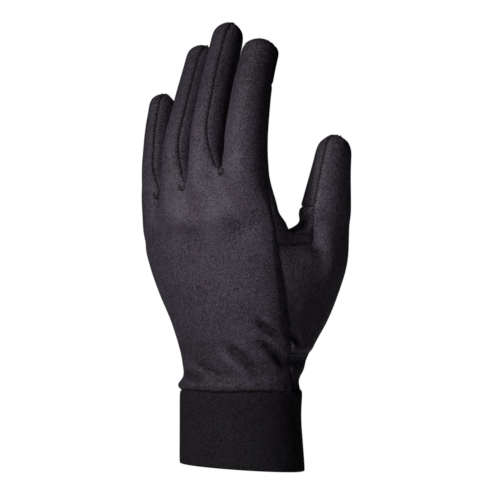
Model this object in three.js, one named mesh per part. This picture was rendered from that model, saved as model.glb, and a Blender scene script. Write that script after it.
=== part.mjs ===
// A stretch-knit glove liner for the left hand, filled out as it is when worn.
// Millimetres. +Z runs up to the fingertips, -Y is the back of the hand, +X the thumb's side.
// The origin is the middle of the cuff's mouth, where the wrist goes in.
// The outside is one net of four-cornered faces. Each face belongs to a cut piece of cloth, and
// each piece gets the cloth's thickness and its own share of the gap at the seams.
import * as THREE from "three";

const { degToRad, lerp, smoothstep, clamp } = THREE.MathUtils;

// Cloth
const FABRIC_THICKNESS = 1.2;
const CUFF_THICKNESS = 2.4;
const SEAM_GAP = 0.3;

// Cuff
const CUFF_HEIGHT = 41.6;
const CUFF_BREADTH = 74.3;
const CUFF_DEPTH = 50;
const CUFF_TAPER = 1.5;
const CUFF_LEAN = 1.7;
const CUFF_SKEW = 4;
const SEAM_WAVE = 0.4;
const HEM_BULGE = 1.6;

// Hand, from the cuff's seam to the crotch of the index finger
const HAND_LENGTH = 121;
const WRIST_BREADTH = 68;
const WRIST_DEPTH = 45;
const PALM_BREADTH = 90;
const PALM_DEPTH = 27;
const PALM_ARCH = 9;
const PALM_SWAY = 10;
const PALM_LEAN = 24;
const WRIST_ROLL = 3.4;
const ROLL_HEIGHT = 3.6;
const ROLL_WIDTH = 2.6;
const FOLD_WIDTH = 4.5;
const FOLD_DEPTH = 1;

// Fingers: the middle finger's sizes, and the room between two fingers
const FINGER_LENGTH = 91;
const FINGER_BREADTH = 21.8;
const FINGER_DEPTH = 22;
const FINGER_CLEARANCE = 1.9;
const KNUCKLE_RISE = 3;
const CROTCH_DOME = 1;

// Thumb, from the cuff's seam to its tip, with the web between thumb and hand
const THUMB_LENGTH = 139.2;
const THUMB_BREADTH = 31;
const THUMB_REACH = 51;
const THUMB_FORWARD = 12.8;
const THUMB_ROOT = 17;
const THUMB_ROUND = 11;
const WEB_RISE = 85.6;
const WEB_SLOPE = 9;
const WEB_DOME = 0.5;
const WEB_SETTLE = 10.5;
const WEB_STEEP = 5;
const WEB_STRIP = 5.8;
const ROOT_SWELL = 0.8;
const WEB_DIP = 0.6;

// Angles round the hand's section, from the thumb's side over the back
const FULL_TURN = 360;
const BACK_END = 162;
const FRONT_START = 196;
const FRONT_END = 300;
const LOBE_START = -8;
const LOBE_END = FRONT_END - FULL_TURN - 2;

// Angles round a finger's section, from the thumb's side over the back
const FAR_BACK = 145;
const FAR_FRONT = 215;
const NEAR_FRONT = -38;
const CROTCH_SEAM = 30;
const TIP_TURN = 14;
const INDEX_SEAM_TURN = 8;

// Angles round the thumb's section where the web meets it
const THUMB_WEB_BACK = 112;
const THUMB_WEB_FRONT = 208;

// Columns of faces over each finger's back and front, across its sides and round the thumb, and rows
const FACE_COLUMNS = 4;
const SIDE_COLUMNS = 3;
const THUMB_COLUMNS = 11;
const HAND_COLUMNS = 4 * FACE_COLUMNS;
const ROWS_BELOW_WEB = 15;
const ROWS_ABOVE_WEB = 7;
const FINGER_ROWS = 17;
const THUMB_ROWS = 13;
const CUFF_COLUMNS = 44;

// Rows at which a seam runs across, counted from the cuff, from the web and from the crotches
const THUMB_SEAM_ROW = 5;
const THUMB_PATCH_ROW = 3;
const INDEX_PATCH_ROW = 10;

// Shares: how even the rows stand, where the seam behind the thumb lies and how tips close
const LOW_ROW_EVENNESS = 0.55;
const TOP_ROW_CROWDING = 0.35;
const PALM_FOLD = 0.3;
const FINGER_SETTLE = 0.12;
const TIP_CLOSING = 0.98;
const TIP_REACH = 0.995;
const CAP_CLOSING = 0.55;
const PULL_LIMIT = 0.35;

// Shares of the way up at which one form begins or ends to give way to another
const PALM_FOLD_START = 0.3;
const WEB_DIP_START = 0.75;
const SEAM_WAVE_END = 0.1;
const KNUCKLE_START = 0.2;
const STRIP_OPENING = 0.3;
const TIP_START = 0.85;
const INDEX_TURN_START = 0.2;
const INDEX_TURN_END = 0.6;

// Sections of the hand. rise is a share of HAND_LENGTH, spread goes from wrist breadth to palm breadth,
// thin from wrist depth to palm depth, sway, lean and arch are shares of the sizes of those names,
// and seam is the angle of the thumb-side seam, from the thumb's side towards the back.
const HAND_SECTIONS = [
  { rise: 0.0, spread: 0.0, thin: 0.0, sway: 0.12, lean: 0.0, arch: 0.0, seam: 3 },
  { rise: 0.07, spread: 0.0, thin: 0.04, sway: 0.05, lean: 0.02, arch: 0.0, seam: 3 },
  { rise: 0.17, spread: 0.03, thin: 0.17, sway: 0.17, lean: 0.1, arch: 0.05, seam: 3 },
  { rise: 0.31, spread: 0.32, thin: 0.44, sway: 0.38, lean: 0.25, arch: 0.2, seam: 3 },
  { rise: 0.44, spread: 0.63, thin: 0.61, sway: 0.68, lean: 0.44, arch: 0.4, seam: 4 },
  { rise: 0.58, spread: 0.88, thin: 0.78, sway: 0.98, lean: 0.62, arch: 0.65, seam: 6 },
  { rise: 0.71, spread: 1.0, thin: 0.89, sway: 1.05, lean: 0.79, arch: 0.85, seam: 11 },
  { rise: 0.87, spread: 1.0, thin: 1.0, sway: 0.95, lean: 0.94, arch: 1.0, seam: 18 },
  { rise: 1.0, spread: 1.0, thin: 1.0, sway: 0.85, lean: 1.0, arch: 1.0, seam: 18 },
];

// Thumb sections. rise, out, forward and girth are shares of the thumb's length, reach, forward set and
// breadth. from and to are the angles between which its outside stands clear of the hand.
const THUMB_SECTIONS = [
  { rise: 0.03, out: 0.345, forward: 0.43, girth: 0.86, from: 0, to: -66 },
  { rise: 0.06, out: 0.37, forward: 0.5, girth: 0.86, from: 5, to: -70 },
  { rise: 0.15, out: 0.427, forward: 0.76, girth: 0.87, from: 15, to: -80 },
  { rise: 0.27, out: 0.556, forward: 1.06, girth: 0.97, from: 28, to: -98 },
  { rise: 0.38, out: 0.668, forward: 1.19, girth: 1.0, from: 40, to: -110 },
  { rise: 0.5, out: 0.788, forward: 1.19, girth: 0.98, from: 58, to: -118 },
  { rise: 0.62, out: 0.846, forward: 1.12, girth: 0.91, from: 82, to: -125 },
  { rise: 0.7, out: 0.883, forward: 1.04, girth: 0.9, from: 88, to: -125 },
  { rise: 0.78, out: 0.918, forward: 1.02, girth: 0.81, from: 88, to: -125 },
  { rise: 0.85, out: 0.953, forward: 0.99, girth: 0.72, from: 89, to: -125 },
  { rise: 0.93, out: 0.99, forward: 0.99, girth: 0.64, from: 90, to: -125 },
  { rise: 1.0, out: 1.0, forward: 1.0, girth: 0.62, from: 90, to: -125 },
];

// Fingers from the thumb's side outwards. length, breadth and depth are shares of the middle finger's sizes,
// crotch is a share of HAND_LENGTH for the crotch on the thumb's side, turn is how far the back faces
// towards the little finger, step the way to the next finger, side the lean towards it, bends the forward
// lean of each bone, round the share of the breadth that the tip rounds off, and seam where the strip ends.
const FINGERS = [
  { name: "index", length: 0.803, breadth: 1.151, depth: 1.075, crotch: 1.003, turn: -6, step: 2,
    side: 0.3, bends: [2, 14, 24], round: 0.3, seam: -8 },
  { name: "middle", length: 1, breadth: 1, depth: 1, crotch: 0.989, turn: 3, step: 17,
    side: 2.8, bends: [8, 22, 27], round: 0.5, seam: 65 },
  { name: "ring", length: 0.953, breadth: 0.965, depth: 0.955, crotch: 0.926, turn: 14, step: 25,
    side: 3.5, bends: [8, 27, 30], round: 0.42, seam: 55 },
  { name: "little", length: 0.648, breadth: 0.835, depth: 0.84, crotch: 0.89, turn: 22, step: 0,
    side: 6.2, bends: [6, 14, 24], round: 0.42, seam: 54 },
];
const OUTER_CROTCH = 0.863;

// Where the index finger stands at the knuckles: shares of PALM_BREADTH and of PALM_LEAN
const INDEX_BASE = { across: 0.2, back: 1.04 };

// Girth of a finger along its length, and where its bones bend
const FINGER_SHAPE = [
  { along: 0.0, girth: 1.0 },
  { along: 0.1, girth: 0.96 },
  { along: 0.3, girth: 0.93 },
  { along: 0.5, girth: 0.88 },
  { along: 0.75, girth: 0.83 },
  { along: 1.0, girth: 0.8 },
];
const BONE_BENDS = [
  { from: 0.12, to: 0.4 },
  { from: 0.48, to: 0.76 },
];

// Dents, bulges and folds on the back. Each runs from one place to another, given as shares of PALM_BREADTH
// and HAND_LENGTH. width and depth are shares of FOLD_WIDTH and FOLD_DEPTH, and a dent's depth is negative.
const FOLDS = [
  { name: "dent between index and middle", across: 0.181, rise: 0.715, toAcross: 0.19, toRise: 0.7,
    width: 1.7, depth: -0.8 },
  { name: "dent between middle and ring", across: -0.123, rise: 0.69, toAcross: -0.11, toRise: 0.665,
    width: 1.6, depth: -1.1 },
  { name: "dent between ring and little", across: -0.33, rise: 0.715, toAcross: -0.32, toRise: 0.69,
    width: 1.4, depth: -0.6 },
  { name: "middle knuckle", across: 0.045, rise: 0.77, toAcross: 0.03, toRise: 0.74,
    width: 1.6, depth: 0.7 },
  { name: "index knuckle", across: 0.315, rise: 0.77, toAcross: 0.3, toRise: 0.74,
    width: 1.6, depth: 0.6 },
  { name: "upper wrist fold", across: 0.244, rise: 0.309, toAcross: 0.342, toRise: 0.237,
    width: 1, depth: -0.9 },
  { name: "wrist fold beside the seam", across: 0.259, rise: 0.224, toAcross: 0.353, toRise: 0.111,
    width: 1, depth: -0.9 },
  { name: "lower wrist fold", across: 0.046, rise: 0.206, toAcross: 0.243, toRise: 0.08,
    width: 1.05, depth: -0.8 },
  { name: "fold over the cuff", across: -0.184, rise: 0.129, toAcross: 0.043, toRise: 0.057,
    width: 1, depth: -0.5 },
  { name: "swell under the thumb's root", across: 0.36, rise: 0.2, toAcross: 0.43, toRise: 0.2,
    width: 1, depth: 0.7 },
  { name: "pinch at the thumb's lower seam", across: 0.36, rise: 0.125, toAcross: 0.43, toRise: 0.125,
    width: 1, depth: -0.9 },
  { name: "crease at the thumb's base", across: 0.5, rise: 0.652, toAcross: 0.6, toRise: 0.589,
    width: 1.1, depth: -0.7 },
];
const CUFF_WAVES = 5;

// The cuff's section: shares of half its thickness and of its height, a doubled band folded at the mouth
const CUFF_PROFILE = [
  { out: 0.0, rise: 0.0 },
  { out: 0.75, rise: 0.005 },
  { out: 1.0, rise: 0.03 },
  { out: 1.06, rise: 0.15 },
  { out: 1.02, rise: 0.4 },
  { out: 1.0, rise: 0.7 },
  { out: 0.97, rise: 0.95 },
  { out: 0.5, rise: 1.0 },
  { out: -0.9, rise: 0.99 },
  { out: -1.0, rise: 0.7 },
  { out: -0.98, rise: 0.4 },
  { out: -0.94, rise: 0.15 },
  { out: -0.75, rise: 0.01 },
];

// A smooth reading of one column of a table at a place between its rows.
function readTable(rows, key, place, column) {
  const last = rows.length - 1;
  let i = 0;
  while (i < last - 1 && place > rows[i + 1][key]) {
    i += 1;
  }
  const slope = (j) => {
    const before = rows[Math.max(j - 1, 0)];
    const after = rows[Math.min(j + 1, last)];
    return (after[column] - before[column]) / (after[key] - before[key]);
  };
  const span = rows[i + 1][key] - rows[i][key];
  const t = clamp((place - rows[i][key]) / span, 0, 1);
  const a = rows[i][column];
  const b = rows[i + 1][column];
  const square = t * t;
  const cube = square * t;
  return (2 * cube - 3 * square + 1) * a + (cube - 2 * square + t) * span * slope(i)
    + (3 * square - 2 * cube) * b + (cube - square) * span * slope(i + 1);
}

const net = { points: [], faces: [] };

function addPoint(point) {
  net.points.push(point);
  return net.points.length - 1;
}

// A band of faces between two rings of the same number of points, each in the piece that pieceOf names.
function addBand(low, high, pieceOf) {
  for (let k = 0; k < low.length; k += 1) {
    const next = (k + 1) % low.length;
    net.faces.push({ corners: [low[next], low[k], high[k], high[next]], piece: pieceOf(k) });
  }
}

// The hand's section at a height: its middle, half sizes and how far its little-finger side drops forward.
function handSection(z) {
  const rise = (z - CUFF_HEIGHT) / HAND_LENGTH;
  const read = (column) => readTable(HAND_SECTIONS, "rise", rise, column);
  return {
    x: -PALM_SWAY * read("sway"),
    y: -PALM_LEAN * read("lean"),
    halfBreadth: lerp(WRIST_BREADTH, PALM_BREADTH, read("spread")) / 2,
    halfDepth: lerp(WRIST_DEPTH, PALM_DEPTH, read("thin")) / 2,
    arch: PALM_ARCH * read("arch"),
    seam: read("seam"),
  };
}

// A swell that is fullest at one place and dies away over a width to each side of it.
function swell(distance, width) {
  const share = distance / width;
  return Math.exp(-share * share);
}

// The roll over the cuff is fullest on the little finger's side, and lower on the thumb's side, where the
// palm's arch also drops less.
const ROLL_NEAR = 0.45;
const ROLL_DROP = 0.3;
const ARCH_NEAR = 0.25;

function handPoint(z, angle) {
  const s = handSection(z);
  const c = Math.cos(degToRad(angle));
  const toThumb = (1 + c) / 2;
  const rollHeight = ROLL_HEIGHT * lerp(1, ROLL_DROP, toThumb);
  const roll = WRIST_ROLL * lerp(1, ROLL_NEAR, toThumb) * swell(z - CUFF_HEIGHT - rollHeight, ROLL_WIDTH);
  const drop = (c < 0 ? 1 : ARCH_NEAR) * s.arch * c * c;
  return new THREE.Vector3(
    s.x + (s.halfBreadth + roll) * c,
    s.y - (s.halfDepth + roll) * Math.sin(degToRad(angle)) + drop,
    z,
  );
}

function thumbSection(z) {
  const rise = (z - CUFF_HEIGHT) / THUMB_LENGTH;
  const read = (column) => readTable(THUMB_SECTIONS, "rise", rise, column);
  return {
    x: THUMB_REACH * read("out"),
    y: THUMB_FORWARD * read("forward"),
    radius: 0.5 * THUMB_BREADTH * read("girth"),
    from: read("from"),
    to: read("to"),
  };
}

function thumbPoint(z, angle, scale = 1) {
  const s = thumbSection(z);
  return new THREE.Vector3(
    s.x + scale * s.radius * Math.cos(degToRad(angle)),
    s.y - scale * s.radius * Math.sin(degToRad(angle)),
    z,
  );
}

// Angles round the hand of the columns on its back, outer side and front.
function backAngle(i, seam) {
  return lerp(seam, BACK_END, i / HAND_COLUMNS);
}
function outerAngle(i) {
  return lerp(BACK_END, FRONT_START, i / SIDE_COLUMNS);
}
function frontAngle(i) {
  return lerp(FRONT_END, FRONT_START, (i - 1) / (HAND_COLUMNS - 1));
}

// Heights of the rows, which slope down towards the little finger.
const WEB_HEIGHT = CUFF_HEIGHT + WEB_RISE;

function webHeight(across) {
  return WEB_HEIGHT - WEB_SLOPE * across;
}

function lowerHeight(across, share) {
  return lerp(CUFF_HEIGHT + SEAM_GAP, webHeight(across), share);
}

// How far the cuff's seam waves up and down at a point round it.
function seamWave(point) {
  const angle = Math.atan2(point.y / CUFF_DEPTH, point.x / CUFF_BREADTH);
  return SEAM_WAVE * Math.sin(CUFF_WAVES * angle);
}

// One ring of the hand below the web, where the root of the thumb is part of it.
function lowerRing(share) {
  const ring = [];
  const zThumb = lowerHeight(0, share);
  const seam = handSection(zThumb).seam;
  for (let i = 0; i <= HAND_COLUMNS; i += 1) {
    ring.push(handPoint(lowerHeight(i / HAND_COLUMNS, share), backAngle(i, seam)));
  }
  for (let i = 1; i < SIDE_COLUMNS; i += 1) {
    ring.push(handPoint(lowerHeight(1, share), outerAngle(i)));
  }
  for (let i = HAND_COLUMNS; i > 1; i -= 1) {
    ring.push(handPoint(lowerHeight(i / HAND_COLUMNS, share), frontAngle(i)));
  }
  const root = thumbSection(zThumb);
  const growth = smoothstep(zThumb, CUFF_HEIGHT, CUFF_HEIGHT + THUMB_ROOT);
  const lobe = [];
  for (let i = 1; i < THUMB_COLUMNS; i += 1) {
    const along = (i - 1) / (THUMB_COLUMNS - 2);
    const onHand = handPoint(zThumb, lerp(LOBE_START, LOBE_END, along));
    const onThumb = thumbPoint(zThumb, lerp(root.from, root.to, along));
    lobe.push(onHand.lerp(onThumb, growth));
  }
  lobe.reverse();
  const fold = lerp(0.5, PALM_FOLD, smoothstep(share, PALM_FOLD_START, 1));
  const palmSide = handPoint(zThumb, frontAngle(1)).lerp(lobe[0], fold);
  const backSide = ring[0].clone().lerp(lobe[lobe.length - 1], 0.5);
  const dip = (ROOT_SWELL + WEB_DIP) * smoothstep(share, WEB_DIP_START, 1);
  const swelling = ROOT_SWELL * growth - dip;
  backSide.x += swelling;
  backSide.y -= 0.5 * swelling;
  const points = [...ring, palmSide, ...lobe, backSide];
  const nearCuff = 1 - smoothstep(share, 0, SEAM_WAVE_END);
  points.forEach((point) => {
    point.z += nearCuff * seamWave(point);
  });
  return points;
}

// The bridge of cloth between thumb and hand: its two ends are on the ring below, its middle is domed.
function bridgePoints(start, end, dome) {
  const points = [];
  for (let i = 1; i < SIDE_COLUMNS; i += 1) {
    const share = i / SIDE_COLUMNS;
    const point = start.clone().lerp(end, share);
    point.z += dome * Math.sin(Math.PI * share);
    points.push(point);
  }
  return points;
}

// The sizes of each finger, and the middle of its section at the knuckles.
const fingers = FINGERS.map((finger) => ({
  ...finger,
  length: finger.length * FINGER_LENGTH,
  breadth: finger.breadth * FINGER_BREADTH,
  depth: finger.depth * FINGER_DEPTH,
}));
const crotches = [...FINGERS.map((finger) => finger.crotch), OUTER_CROTCH];
const crotchHeights = crotches.map((share) => CUFF_HEIGHT + share * HAND_LENGTH);

function fingerBases() {
  const middles = [];
  let x = INDEX_BASE.across * PALM_BREADTH;
  let y = -INDEX_BASE.back * PALM_LEAN;
  fingers.forEach((finger, j) => {
    middles.push(new THREE.Vector3(x, y, (crotchHeights[j] + crotchHeights[j + 1]) / 2));
    if (j + 1 < fingers.length) {
      const stride = (finger.breadth + fingers[j + 1].breadth) / 2 + FINGER_CLEARANCE;
      x -= stride * Math.cos(degToRad(finger.step));
      y += stride * Math.sin(degToRad(finger.step));
    }
  });
  return middles;
}
const bases = fingerBases();

function fingerBend(finger, along) {
  const [near, mid, far] = finger.bends;
  const [first, second] = BONE_BENDS.map((bend) => smoothstep(along, bend.from, bend.to));
  return lerp(lerp(near, mid, first), far, second);
}

function fingerDirection(finger, along) {
  const forward = Math.tan(degToRad(fingerBend(finger, along)));
  const side = -Math.tan(degToRad(finger.side));
  return new THREE.Vector3(side, forward, 1).normalize();
}

// The middle of a finger's section at a share of its length, found in short steps along its bones.
const BONE_STEPS = 40;

function fingerMiddle(finger, base, along) {
  const point = base.clone();
  for (let i = 0; i < BONE_STEPS; i += 1) {
    const here = (along * (i + 0.5)) / BONE_STEPS;
    point.addScaledVector(fingerDirection(finger, here), (along * finger.length) / BONE_STEPS);
  }
  return point;
}

function fingerAngles(finger, along) {
  const opening = smoothstep(along, 0, STRIP_OPENING);
  const narrowing = smoothstep(along, TIP_START, 1);
  const turned = smoothstep(along, INDEX_TURN_START, INDEX_TURN_END);
  const hasStrip = finger.name !== "index";
  const seam = hasStrip ? lerp(CROTCH_SEAM, finger.seam, opening) : finger.seam;
  const turning = hasStrip ? -TIP_TURN * narrowing : INDEX_SEAM_TURN * turned;
  return {
    nearBack: seam + turning,
    farBack: FAR_BACK + TIP_TURN * narrowing,
    farFront: FAR_FRONT - TIP_TURN * narrowing,
    nearFront: NEAR_FRONT + TIP_TURN * narrowing,
  };
}

function fingerPoint(finger, base, along, angle) {
  const middle = fingerMiddle(finger, base, along);
  const up = fingerDirection(finger, along);
  const turn = degToRad(finger.turn);
  const across = new THREE.Vector3(Math.cos(turn), -Math.sin(turn), 0);
  across.addScaledVector(up, -across.dot(up)).normalize();
  const back = new THREE.Vector3().crossVectors(across, up);
  const tipShare = (finger.round * finger.breadth) / finger.length;
  const toTip = clamp((along - (1 - tipShare)) / tipShare, 0, 1);
  const round = Math.sqrt(1 - TIP_CLOSING * toTip * toTip);
  const girth = readTable(FINGER_SHAPE, "along", along, "girth") * round;
  const a = 0.5 * finger.breadth * girth;
  const b = 0.5 * finger.depth * girth;
  return middle
    .addScaledVector(across, a * Math.cos(degToRad(angle)))
    .addScaledVector(back, b * Math.sin(degToRad(angle)));
}

// The points round a finger, from its thumb-side seam over the back, down the far side and up the front.
function fingerRing(finger, base, along) {
  const seams = fingerAngles(finger, along);
  const angles = [];
  for (let i = 0; i <= FACE_COLUMNS; i += 1) {
    angles.push(lerp(seams.nearBack, seams.farBack, i / FACE_COLUMNS));
  }
  for (let i = 1; i < SIDE_COLUMNS; i += 1) {
    angles.push(lerp(seams.farBack, seams.farFront, i / SIDE_COLUMNS));
  }
  for (let i = 0; i <= FACE_COLUMNS; i += 1) {
    angles.push(lerp(seams.farFront, seams.nearFront + FULL_TURN, i / FACE_COLUMNS));
  }
  for (let i = 1; i < SIDE_COLUMNS; i += 1) {
    angles.push(lerp(seams.nearFront, seams.nearBack, i / SIDE_COLUMNS));
  }
  return angles.map((angle) => fingerPoint(finger, base, along, angle));
}

// Where each point of a finger's ring belongs on the hand's ring at the knuckles.
const FRONT_FIRST = HAND_COLUMNS + SIDE_COLUMNS;
const UPPER_COUNT = 2 * (HAND_COLUMNS + SIDE_COLUMNS);

function frontIndex(i) {
  return FRONT_FIRST + HAND_COLUMNS - i;
}

function knuckleRing() {
  const ring = new Array(UPPER_COUNT).fill(null);
  const bridges = [];
  const place = (index, point) => {
    ring[index] = ring[index] ? ring[index].clone().lerp(point, 0.5) : point;
  };
  fingers.forEach((finger, j) => {
    const points = fingerRing(finger, bases[j], 0);
    const first = j * FACE_COLUMNS;
    points.forEach((point, k) => {
      let across = 0;
      if (k <= FACE_COLUMNS) {
        across = k / FACE_COLUMNS;
        point.z = lerp(crotchHeights[j], crotchHeights[j + 1], across)
          + KNUCKLE_RISE * Math.sin(Math.PI * across);
        place(first + k, point);
      } else if (k < FACE_COLUMNS + SIDE_COLUMNS) {
        point.z = crotchHeights[j + 1];
        if (j === fingers.length - 1) {
          place(HAND_COLUMNS + k - FACE_COLUMNS, point);
        } else {
          bridges.push({ crotch: j, step: k - FACE_COLUMNS, point });
        }
      } else if (k <= 2 * FACE_COLUMNS + SIDE_COLUMNS) {
        across = 1 - (k - FACE_COLUMNS - SIDE_COLUMNS) / FACE_COLUMNS;
        point.z = lerp(crotchHeights[j], crotchHeights[j + 1], across);
        place(frontIndex(first + across * FACE_COLUMNS), point);
      } else {
        point.z = crotchHeights[j];
        const step = k - 2 * FACE_COLUMNS - SIDE_COLUMNS;
        if (j === 0) {
          place(frontIndex(0) + step, point);
        } else {
          bridges.push({ crotch: j - 1, step: SIDE_COLUMNS - step, point });
        }
      }
    });
  });
  return { ring, bridges };
}

// Put the net together: hand below the web, thumb, hand above the web, fingers, fingertips.
const BACK = "back_panel";
const PALM = "palm_panel";

// The columns of the thumb's root follow those of the back, the outer side and the front.
const ROOT_FIRST = 2 * HAND_COLUMNS + SIDE_COLUMNS - 1;
const ROOT_LAST = ROOT_FIRST + THUMB_COLUMNS - 1;

function lowerPiece(row, k) {
  if (k < ROOT_FIRST) {
    return handPiece(k);
  }
  const webStrip = row === ROWS_BELOW_WEB - 1 && k >= ROOT_LAST;
  return row < THUMB_SEAM_ROW || webStrip ? PALM : "thumb_back";
}

function handPiece(k) {
  return k <= HAND_COLUMNS ? BACK : PALM;
}

const lowerShares = [];
for (let row = 0; row < ROWS_BELOW_WEB; row += 1) {
  const even = row / (ROWS_BELOW_WEB - 1);
  lowerShares.push(lerp(even * even, even, LOW_ROW_EVENNESS) * (1 - WEB_STRIP / WEB_RISE));
}
lowerShares.push(1);
const lowerRings = lowerShares.map((share) => lowerRing(share));
const lower = lowerRings.map((ring) => ring.map(addPoint));
for (let row = 0; row < ROWS_BELOW_WEB; row += 1) {
  addBand(lower[row], lower[row + 1], (k) => lowerPiece(row, k));
}

const webRing = lower[ROWS_BELOW_WEB];
const backEnd = webRing.length - 1;
const [webA, webB] = bridgePoints(net.points[webRing[backEnd]], net.points[webRing[ROOT_FIRST]], WEB_DOME);
const webMiddle = [addPoint(webA), addPoint(webB)];

const handStart = [
  ...webRing.slice(0, ROOT_FIRST + 1),
  webMiddle[1],
  webMiddle[0],
  webRing[backEnd],
];
const thumbStart = [
  ...webRing.slice(ROOT_FIRST),
  ...webMiddle,
];

// Thumb rings, up to a rounded tip.
const THUMB_TOP = CUFF_HEIGHT + THUMB_LENGTH;

function thumbRing(z) {
  const s = thumbSection(z);
  const toTip = clamp((z - (THUMB_TOP - THUMB_ROUND)) / THUMB_ROUND, 0, 1);
  const scale = Math.sqrt(1 - TIP_CLOSING * toTip * toTip);
  const angles = [THUMB_WEB_FRONT];
  for (let i = THUMB_COLUMNS - 1; i > 0; i -= 1) {
    angles.push(lerp(s.from, s.to, (i - 1) / (THUMB_COLUMNS - 2)));
  }
  angles.push(THUMB_WEB_BACK);
  for (let i = 1; i < SIDE_COLUMNS; i += 1) {
    angles.push(lerp(THUMB_WEB_BACK, THUMB_WEB_FRONT, i / SIDE_COLUMNS));
  }
  return angles.map((angle) => thumbPoint(z, angle, scale));
}

function risingShare(row, rows, quick) {
  const even = row / rows;
  return lerp(even, Math.sin(0.5 * Math.PI * even), quick);
}

// The thumb's front runs from the palm's side round over the web.
const THUMB_FRONT_COLUMNS = 3;

function thumbPiece(row, k) {
  if (k >= THUMB_FRONT_COLUMNS && k < THUMB_COLUMNS - 1) {
    return "thumb_back";
  }
  return row < THUMB_PATCH_ROW ? "thumb_front" : "thumb_touch_tip";
}

let thumbLow = thumbStart;
const webPoints = thumbStart.map((index) => net.points[index].clone());
for (let row = 1; row <= THUMB_ROWS; row += 1) {
  const share = TIP_REACH * risingShare(row, THUMB_ROWS, TOP_ROW_CROWDING);
  const z = lerp(WEB_HEIGHT, THUMB_TOP, share);
  const ring = thumbRing(z).map((point, k) => {
    const settle = k === 0 || k >= THUMB_COLUMNS ? WEB_STEEP : WEB_SETTLE;
    const leaving = smoothstep(z, WEB_HEIGHT, WEB_HEIGHT + settle);
    const start = webPoints[k].clone();
    start.z += z - WEB_HEIGHT;
    return start.lerp(point, leaving);
  });
  const high = ring.map(addPoint);
  addBand(thumbLow, high, (k) => thumbPiece(row - 1, k));
  thumbLow = high;
}

// A rounded end of four by three faces over a ring of fourteen points.
function addCap(ring, back, top, pieceOf) {
  const along = (side, share) => net.points[side[0]].clone().lerp(net.points[side[1]], share);
  const rows = [ring.slice(back, back + FACE_COLUMNS + 1)];
  const left = [];
  const right = [];
  const size = ring.length;
  for (let r = 1; r < SIDE_COLUMNS; r += 1) {
    left.push(ring[(back - r + size) % size]);
    right.push(ring[(back + FACE_COLUMNS + r) % size]);
  }
  const frontRow = [];
  for (let c = 0; c <= FACE_COLUMNS; c += 1) {
    frontRow.push(ring[(back - SIDE_COLUMNS - c + 2 * size) % size]);
  }
  for (let r = 1; r < SIDE_COLUMNS; r += 1) {
    const row = [left[r - 1]];
    for (let c = 1; c < FACE_COLUMNS; c += 1) {
      const cross = along([left[r - 1], right[r - 1]], c / FACE_COLUMNS);
      const down = along([rows[0][c], frontRow[c]], r / SIDE_COLUMNS);
      row.push(addPoint(cross.lerp(down, 0.5).lerp(top, CAP_CLOSING)));
    }
    row.push(right[r - 1]);
    rows.push(row);
  }
  rows.push(frontRow);
  for (let r = 0; r < SIDE_COLUMNS; r += 1) {
    for (let c = 0; c < FACE_COLUMNS; c += 1) {
      net.faces.push({
        corners: [rows[r][c + 1], rows[r][c], rows[r + 1][c], rows[r + 1][c + 1]],
        piece: pieceOf(r),
      });
    }
  }
}

const THUMB_CAP_START = 5;
addCap(thumbLow, THUMB_CAP_START, thumbPoint(THUMB_TOP, 0, 0), () => "thumb_touch_tip");

// Hand rings above the web, which take the form of the knuckles as they rise.
const knuckles = knuckleRing();
let handLow = handStart;
const handPoints = handStart.map((index) => net.points[index].clone());
for (let row = 1; row <= ROWS_ABOVE_WEB; row += 1) {
  const share = row / ROWS_ABOVE_WEB;
  const high = handPoints.map((start, k) => {
    const end = knuckles.ring[k];
    const across = k <= HAND_COLUMNS ? k / HAND_COLUMNS
      : k < FRONT_FIRST ? 1 : Math.max(0, (frontIndex(0) - k) / HAND_COLUMNS);
    const low = webHeight(across);
    const z = lerp(start.z, end.z, share);
    const seam = handSection(z).seam;
    let angle = 0;
    if (k <= HAND_COLUMNS) {
      angle = backAngle(k, seam);
    } else if (k < FRONT_FIRST) {
      angle = outerAngle(k - HAND_COLUMNS);
    } else if (k < frontIndex(0)) {
      angle = frontAngle(frontIndex(0) - k);
    } else {
      angle = lerp(FRONT_END - FULL_TURN, seam, (k - frontIndex(0) + 1) / (SIDE_COLUMNS + 1));
    }
    const oval = handPoint(z, angle);
    const leaving = smoothstep(z, low, low + WEB_SETTLE);
    const flat = start.clone().setZ(z);
    const knuckle = end.clone().setZ(z);
    return flat.lerp(oval, leaving).lerp(knuckle, smoothstep(share, KNUCKLE_START, 1));
  });
  const indices = high.map(addPoint);
  addBand(handLow, indices, handPiece);
  handLow = indices;
}

// Crotches between fingers, then the fingers.
const crotchMiddles = [];
for (let crotch = 0; crotch < fingers.length - 1; crotch += 1) {
  const middles = [];
  for (let step = 1; step < SIDE_COLUMNS; step += 1) {
    const pair = knuckles.bridges.filter((b) => b.crotch === crotch && b.step === step);
    const point = pair[0].point.clone().lerp(pair[1].point, 0.5);
    point.z += CROTCH_DOME;
    middles.push(addPoint(point));
  }
  crotchMiddles.push(middles);
}

function fingerStart(j) {
  const first = j * FACE_COLUMNS;
  const ring = [];
  for (let i = 0; i <= FACE_COLUMNS; i += 1) {
    ring.push(handLow[first + i]);
  }
  if (j === fingers.length - 1) {
    for (let i = 1; i < SIDE_COLUMNS; i += 1) {
      ring.push(handLow[HAND_COLUMNS + i]);
    }
  } else {
    ring.push(...crotchMiddles[j]);
  }
  for (let i = FACE_COLUMNS; i >= 0; i -= 1) {
    ring.push(handLow[frontIndex(first + i)]);
  }
  if (j === 0) {
    for (let i = 1; i < SIDE_COLUMNS; i += 1) {
      ring.push(handLow[frontIndex(0) + i]);
    }
  } else {
    ring.push(...[...crotchMiddles[j - 1]].reverse());
  }
  return ring;
}

const STRIP_NAMES = ["fourchette_index_middle", "fourchette_middle_ring", "fourchette_ring_little"];

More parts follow.
